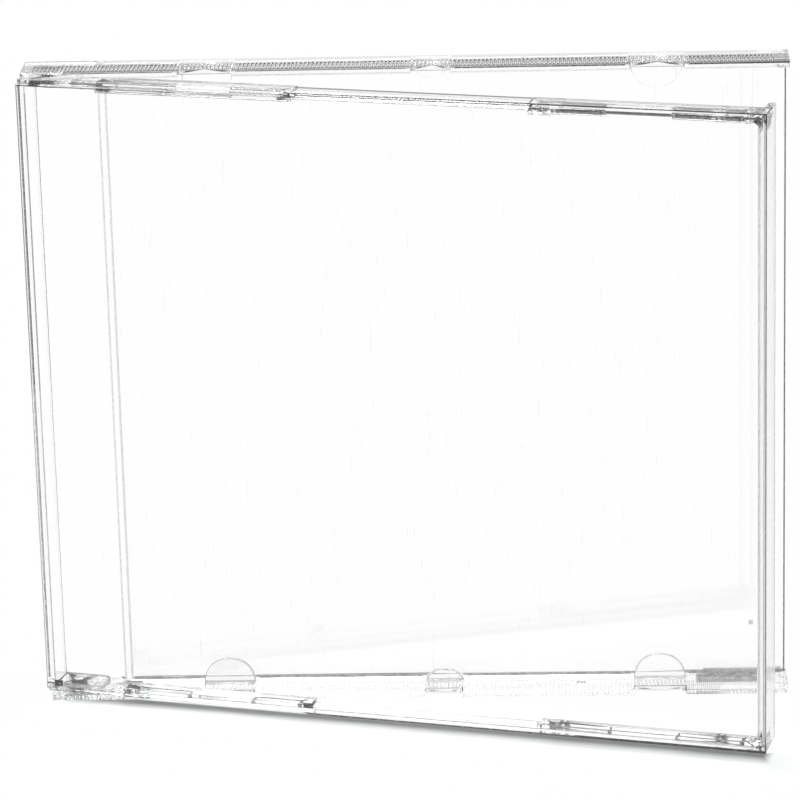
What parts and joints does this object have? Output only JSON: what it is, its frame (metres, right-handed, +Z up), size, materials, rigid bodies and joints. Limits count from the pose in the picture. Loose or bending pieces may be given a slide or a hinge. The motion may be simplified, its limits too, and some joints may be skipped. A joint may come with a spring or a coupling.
{
  "type": "cd jewel case",
  "caption": "Clear hinged disc case without its tray: a front cover with booklet tabs and ribbed edges that swings on pins in a rear shell.",
  "frame": {"origin": "point of the cover's lower edge wall under the hinge axis, where the case stands on the surface", "axes": "+X from the hinge towards the opening edge along the rear shell, +Y through the case from the shell's back towards the cover, +Z up along the hinge axis"},
  "size_m": [0.1426, 0.0443, 0.1245],
  "materials": {
    "shell_plastic": "clear polished moulded polystyrene",
    "cover_plastic": "clear polished moulded polystyrene"
  },
  "bodies": {
    "shell": {"rear_shell": "shell_plastic"},
    "cover": {"front_cover": "cover_plastic"}
  },
  "joints": [
    {"name": "cover_hinge", "type": "hinge", "parent": "shell", "child": "cover", "pos_m": [0, 0, 0.06225], "axis": [0, 0, 1], "range_deg": [-14.2, 165.8]}
  ]
}
